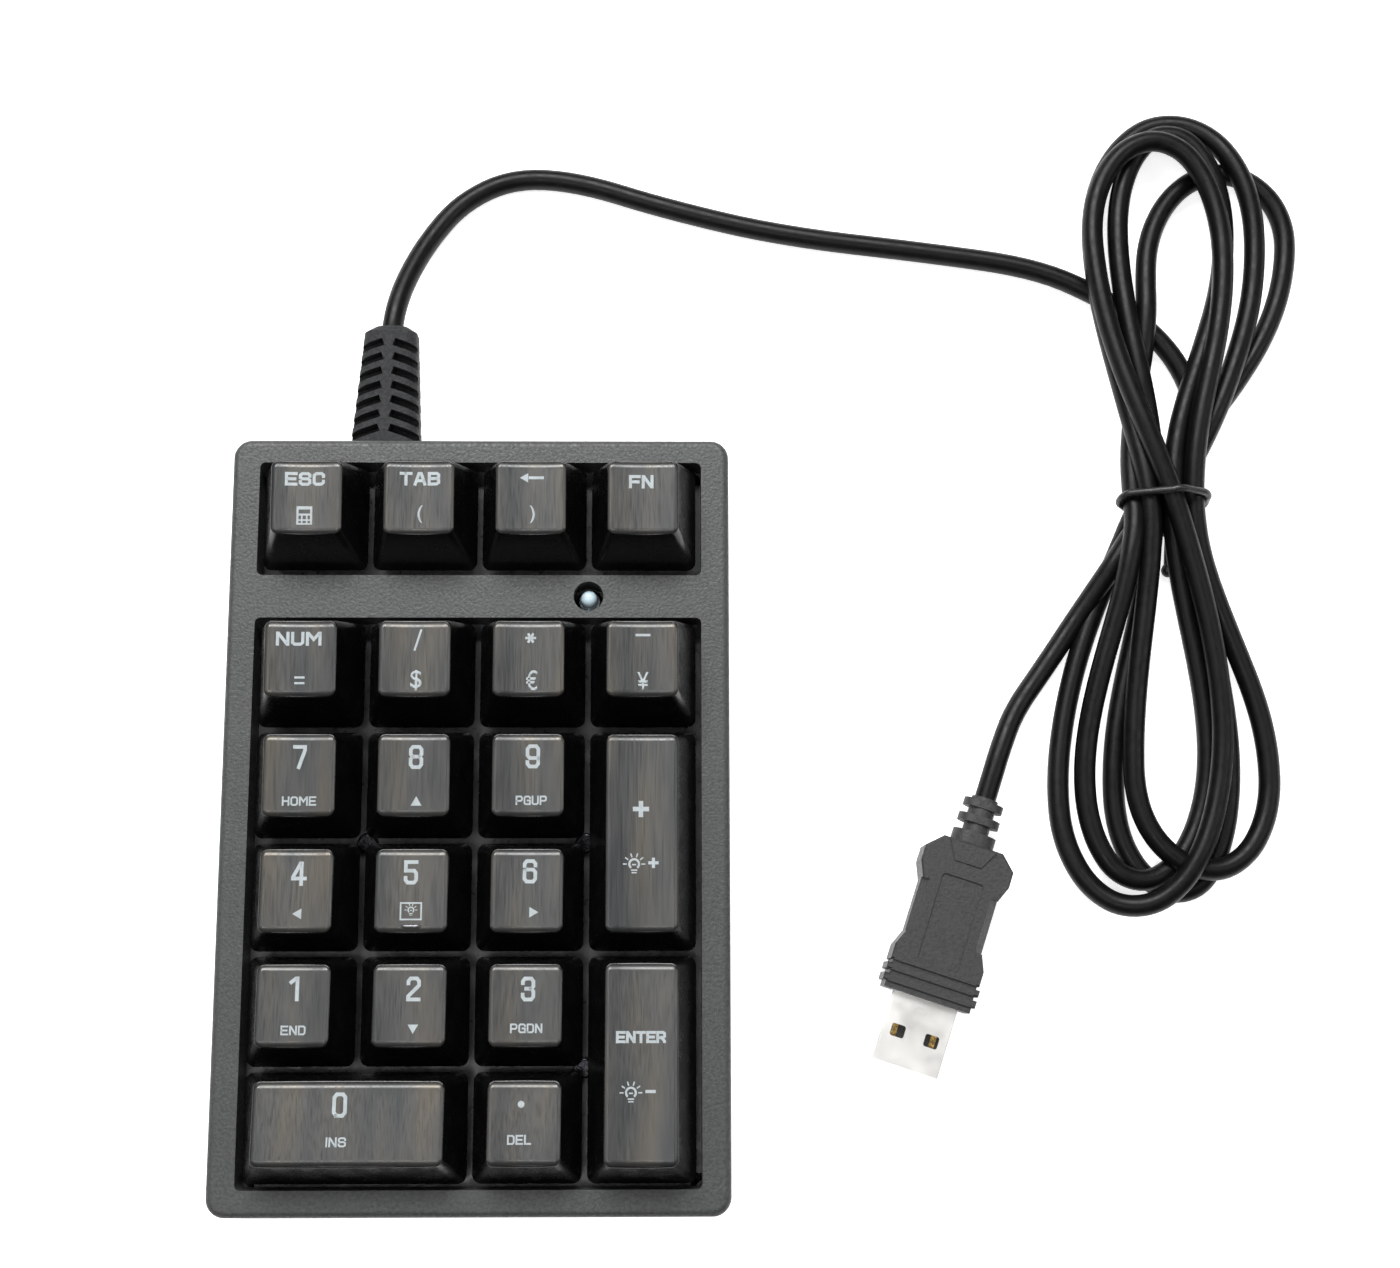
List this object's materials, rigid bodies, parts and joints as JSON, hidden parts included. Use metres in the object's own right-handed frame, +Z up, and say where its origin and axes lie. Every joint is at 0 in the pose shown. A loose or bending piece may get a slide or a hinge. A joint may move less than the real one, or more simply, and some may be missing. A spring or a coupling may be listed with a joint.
{
  "type": "numeric keypad",
  "caption": "Wired numeric keypad: moulded case, sprung mechanical keys with cylindrical caps, status lamp, and a cable gathered in a tied hank that ends in a USB-A plug.",
  "frame": {"origin": "middle of the case on the surface that the feet stand on", "axes": "+X right, +Y away from the user towards the cable, +Z up"},
  "size_m": [0.1957, 0.2003, 0.0315],
  "materials": {
    "case_plastic": "fine matt texture",
    "plate_steel": "black semi-gloss",
    "board": "solder mask",
    "switch_plastic": "moulded black",
    "spring_steel": "bright drawn wire",
    "contact_metal": "plated",
    "lamp_plastic": "translucent white",
    "chip": "moulded epoxy",
    "connector_plastic": "natural nylon",
    "wire_insulation": "PVC",
    "screw_steel": "black oxide",
    "feet_rubber": "matt",
    "stabiliser_plastic": "moulded black",
    "boot_rubber": "satin moulded",
    "cable_jacket": "satin PVC",
    "tie_rubber": "satin",
    "plug_plastic": "fine texture",
    "plug_metal": "plated steel",
    "tongue_plastic": "white",
    "contact_gold": "gold plated",
    "key_plastic": "gloss black sides, satin top"
  },
  "bodies": {
    "case": {"bottom_case": "case_plastic", "cable_hank": "cable_jacket", "cable_lead": "cable_jacket", "cable_socket": "connector_plastic", "cable_tail": "cable_jacket", "cable_tie": "tie_rubber", "case_screws": "screw_steel", "circuit_board": "board", "controller_chip": "chip", "indicator_lamp": "lamp_plastic", "inner_wires": "wire_insulation", "key_lamps": "lamp_plastic", "lamp_leads": "contact_metal", "lead_connector": "connector_plastic", "plate_screws": "screw_steel", "plug_contacts": "contact_gold", "plug_housing": "plug_plastic", "plug_shell": "plug_metal", "plug_tongue": "tongue_plastic", "rubber_feet": "feet_rubber", "stabiliser_housings": "stabiliser_plastic", "strain_relief": "boot_rubber", "switch_contacts": "contact_metal", "switch_lower_housings": "switch_plastic", "switch_plate": "plate_steel", "switch_springs": "spring_steel", "switch_upper_housings": "switch_plastic", "top_case": "case_plastic"},
    "key_0": {"key_0": "key_plastic", "stabiliser_inserts_0": "stabiliser_plastic"},
    "key_1": {"key_1": "key_plastic"},
    "key_2": {"key_2": "key_plastic"},
    "key_3": {"key_3": "key_plastic"},
    "key_4": {"key_4": "key_plastic"},
    "key_5": {"key_5": "key_plastic"},
    "key_6": {"key_6": "key_plastic"},
    "key_7": {"key_7": "key_plastic"},
    "key_8": {"key_8": "key_plastic"},
    "key_9": {"key_9": "key_plastic"},
    "key_backspace": {"key_backspace": "key_plastic"},
    "key_decimal": {"key_decimal": "key_plastic"},
    "key_divide": {"key_divide": "key_plastic"},
    "key_enter": {"key_enter": "key_plastic", "stabiliser_inserts_enter": "stabiliser_plastic"},
    "key_esc": {"key_esc": "key_plastic"},
    "key_fn": {"key_fn": "key_plastic"},
    "key_minus": {"key_minus": "key_plastic"},
    "key_multiply": {"key_multiply": "key_plastic"},
    "key_num_lock": {"key_num_lock": "key_plastic"},
    "key_plus": {"key_plus": "key_plastic", "stabiliser_inserts_plus": "stabiliser_plastic"},
    "key_tab": {"key_tab": "key_plastic"},
    "stabiliser_wire_plus": {"stabiliser_wire_plus": "spring_steel"},
    "stabiliser_wire_enter": {"stabiliser_wire_enter": "spring_steel"},
    "stabiliser_wire_0": {"stabiliser_wire_0": "spring_steel"}
  },
  "joints": [
    {"name": "key_0_press", "type": "slide", "parent": "case", "child": "key_0", "axis": [0, 0, -1], "range_m": [0, 0.004], "stiffness_N_per_m": 150, "springref_m": -0.002, "deforming": ["switch_springs"]},
    {"name": "key_1_press", "type": "slide", "parent": "case", "child": "key_1", "axis": [0, 0, -1], "range_m": [0, 0.004], "stiffness_N_per_m": 150, "springref_m": -0.002, "deforming": ["switch_springs"]},
    {"name": "key_2_press", "type": "slide", "parent": "case", "child": "key_2", "axis": [0, 0, -1], "range_m": [0, 0.004], "stiffness_N_per_m": 150, "springref_m": -0.002, "deforming": ["switch_springs"]},
    {"name": "key_3_press", "type": "slide", "parent": "case", "child": "key_3", "axis": [0, 0, -1], "range_m": [0, 0.004], "stiffness_N_per_m": 150, "springref_m": -0.002, "deforming": ["switch_springs"]},
    {"name": "key_4_press", "type": "slide", "parent": "case", "child": "key_4", "axis": [0, 0, -1], "range_m": [0, 0.004], "stiffness_N_per_m": 150, "springref_m": -0.002, "deforming": ["switch_springs"]},
    {"name": "key_5_press", "type": "slide", "parent": "case", "child": "key_5", "axis": [0, 0, -1], "range_m": [0, 0.004], "stiffness_N_per_m": 150, "springref_m": -0.002, "deforming": ["switch_springs"]},
    {"name": "key_6_press", "type": "slide", "parent": "case", "child": "key_6", "axis": [0, 0, -1], "range_m": [0, 0.004], "stiffness_N_per_m": 150, "springref_m": -0.002, "deforming": ["switch_springs"]},
    {"name": "key_7_press", "type": "slide", "parent": "case", "child": "key_7", "axis": [0, 0, -1], "range_m": [0, 0.004], "stiffness_N_per_m": 150, "springref_m": -0.002, "deforming": ["switch_springs"]},
    {"name": "key_8_press", "type": "slide", "parent": "case", "child": "key_8", "axis": [0, 0, -1], "range_m": [0, 0.004], "stiffness_N_per_m": 150, "springref_m": -0.002, "deforming": ["switch_springs"]},
    {"name": "key_9_press", "type": "slide", "parent": "case", "child": "key_9", "axis": [0, 0, -1], "range_m": [0, 0.004], "stiffness_N_per_m": 150, "springref_m": -0.002, "deforming": ["switch_springs"]},
    {"name": "key_backspace_press", "type": "slide", "parent": "case", "child": "key_backspace", "axis": [0, 0, -1], "range_m": [0, 0.004], "stiffness_N_per_m": 150, "springref_m": -0.002, "deforming": ["switch_springs"]},
    {"name": "key_decimal_press", "type": "slide", "parent": "case", "child": "key_decimal", "axis": [0, 0, -1], "range_m": [0, 0.004], "stiffness_N_per_m": 150, "springref_m": -0.002, "deforming": ["switch_springs"]},
    {"name": "key_divide_press", "type": "slide", "parent": "case", "child": "key_divide", "axis": [0, 0, -1], "range_m": [0, 0.004], "stiffness_N_per_m": 150, "springref_m": -0.002, "deforming": ["switch_springs"]},
    {"name": "key_enter_press", "type": "slide", "parent": "case", "child": "key_enter", "axis": [0, 0, -1], "range_m": [0, 0.004], "stiffness_N_per_m": 150, "springref_m": -0.002, "deforming": ["switch_springs"]},
    {"name": "key_esc_press", "type": "slide", "parent": "case", "child": "key_esc", "axis": [0, 0, -1], "range_m": [0, 0.004], "stiffness_N_per_m": 150, "springref_m": -0.002, "deforming": ["switch_springs"]},
    {"name": "key_fn_press", "type": "slide", "parent": "case", "child": "key_fn", "axis": [0, 0, -1], "range_m": [0, 0.004], "stiffness_N_per_m": 150, "springref_m": -0.002, "deforming": ["switch_springs"]},
    {"name": "key_minus_press", "type": "slide", "parent": "case", "child": "key_minus", "axis": [0, 0, -1], "range_m": [0, 0.004], "stiffness_N_per_m": 150, "springref_m": -0.002, "deforming": ["switch_springs"]},
    {"name": "key_multiply_press", "type": "slide", "parent": "case", "child": "key_multiply", "axis": [0, 0, -1], "range_m": [0, 0.004], "stiffness_N_per_m": 150, "springref_m": -0.002, "deforming": ["switch_springs"]},
    {"name": "key_num_lock_press", "type": "slide", "parent": "case", "child": "key_num_lock", "axis": [0, 0, -1], "range_m": [0, 0.004], "stiffness_N_per_m": 150, "springref_m": -0.002, "deforming": ["switch_springs"]},
    {"name": "key_plus_press", "type": "slide", "parent": "case", "child": "key_plus", "axis": [0, 0, -1], "range_m": [0, 0.004], "stiffness_N_per_m": 150, "springref_m": -0.002, "deforming": ["switch_springs"]},
    {"name": "key_tab_press", "type": "slide", "parent": "case", "child": "key_tab", "axis": [0, 0, -1], "range_m": [0, 0.004], "stiffness_N_per_m": 150, "springref_m": -0.002, "deforming": ["switch_springs"]},
    {"name": "stabiliser_wire_plus_swing", "type": "hinge", "parent": "case", "child": "stabiliser_wire_plus", "pos_m": [0.03678, -0.00417, 0.011], "axis": [0, -1, 0], "range_deg": [0, 27.97]},
    {"name": "stabiliser_wire_enter_swing", "type": "hinge", "parent": "case", "child": "stabiliser_wire_enter", "pos_m": [0.03678, -0.04228, 0.011], "axis": [0, -1, 0], "range_deg": [0, 27.97]},
    {"name": "stabiliser_wire_0_swing", "type": "hinge", "parent": "case", "child": "stabiliser_wire_0", "pos_m": [-0.01905, -0.06, 0.011], "axis": [-1, 0, 0], "range_deg": [0, 27.97]}
  ],
  "couplings": [
    {"joint": "stabiliser_wire_plus_swing", "follows": "key_plus_press", "rad_per_m": 119.85},
    {"joint": "stabiliser_wire_enter_swing", "follows": "key_enter_press", "rad_per_m": 119.85},
    {"joint": "stabiliser_wire_0_swing", "follows": "key_0_press", "rad_per_m": 119.85}
  ]
}
